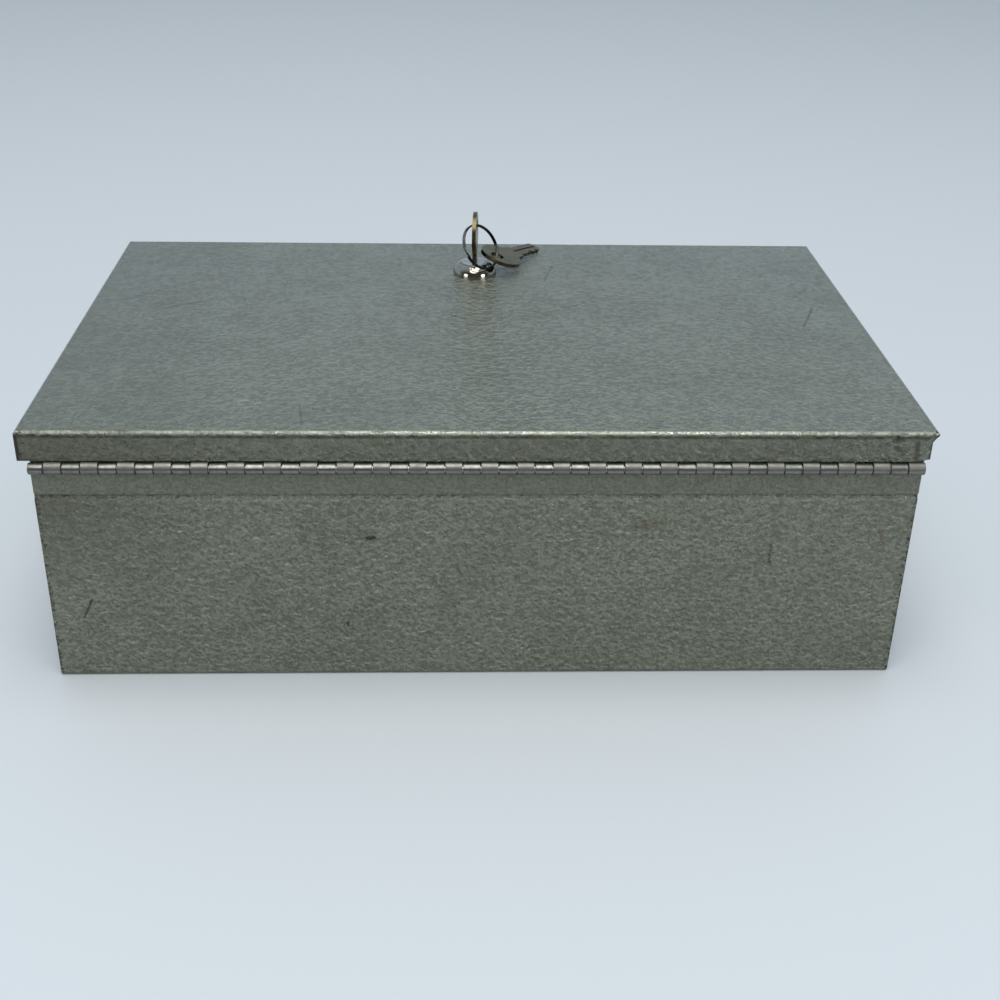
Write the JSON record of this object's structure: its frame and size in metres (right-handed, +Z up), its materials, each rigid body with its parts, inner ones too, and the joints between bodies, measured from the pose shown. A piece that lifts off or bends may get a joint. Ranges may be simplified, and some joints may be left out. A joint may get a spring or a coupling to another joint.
{
  "type": "deed box",
  "caption": "Flat sheet-steel box for papers, with a lid on a full-length hinge, a key lock in the lid, and a spare key on a split ring.",
  "frame": {"origin": "on the ground, under the middle of the closed box with its hinge", "axes": "+X along the hinge, +Y from the lock side towards the hinge side, +Z up"},
  "size_m": [0.324, 0.2105, 0.1308],
  "materials": {
    "grey_paint": "grey hammered enamel, worn",
    "hinge_strip": "satin, thinly painted",
    "plated_steel": "zinc plated",
    "lock_chrome": "bright, lightly worn",
    "lock_brass": "satin",
    "key_metal": "dull, tarnished",
    "dark_steel": "dark, bright where worn"
  },
  "bodies": {
    "box": {"body_wrap": "grey_paint", "end_panel_left": "grey_paint", "end_panel_right": "grey_paint", "hinge_leaf_body": "hinge_strip", "hinge_pin": "plated_steel", "strike_plate": "plated_steel"},
    "lid": {"lid_shell": "grey_paint", "hinge_leaf_lid": "hinge_strip", "lock_housing": "lock_chrome", "lock_washer": "plated_steel", "lock_nut": "plated_steel"},
    "plug": {"lock_plug": "lock_brass", "tumbler_1": "lock_brass", "tumbler_2": "lock_brass", "tumbler_3": "lock_brass", "tumbler_4": "lock_brass", "tumbler_5": "lock_brass", "tumbler_springs": "plated_steel", "stop_washer": "plated_steel", "lock_cam": "plated_steel", "cam_spring_washer": "dark_steel", "cam_screw": "plated_steel"},
    "key": {"door_key": "key_metal"},
    "ring": {"split_ring": "dark_steel"},
    "spare": {"spare_key": "key_metal"}
  },
  "joints": [
    {"name": "lid_hinge", "type": "hinge", "parent": "box", "child": "lid", "pos_m": [0, 0.10315, 0.0887], "axis": [-1, 0, 0], "range_deg": [0, 185]},
    {"name": "plug_turn", "type": "hinge", "parent": "lid", "child": "plug", "pos_m": [-0.0006, -0.06305, 0.103], "axis": [0, 0, -1], "range_deg": [-5, 85]},
    {"name": "key_withdraw", "type": "slide", "parent": "plug", "child": "key", "axis": [0, 0, 1], "range_m": [0, 0.022]},
    {"name": "ring_swing", "type": "hinge", "parent": "key", "child": "ring", "pos_m": [-0.0006, -0.06305, 0.1251], "axis": [0, 0, 1], "range_deg": [-40, 4]},
    {"name": "spare_key_swing", "type": "hinge", "parent": "ring", "child": "spare", "pos_m": [-0.01039, -0.06145, 0.1109], "axis": [0.1498, 0.7646, -0.6269], "range_deg": [-5, 40]}
  ]
}
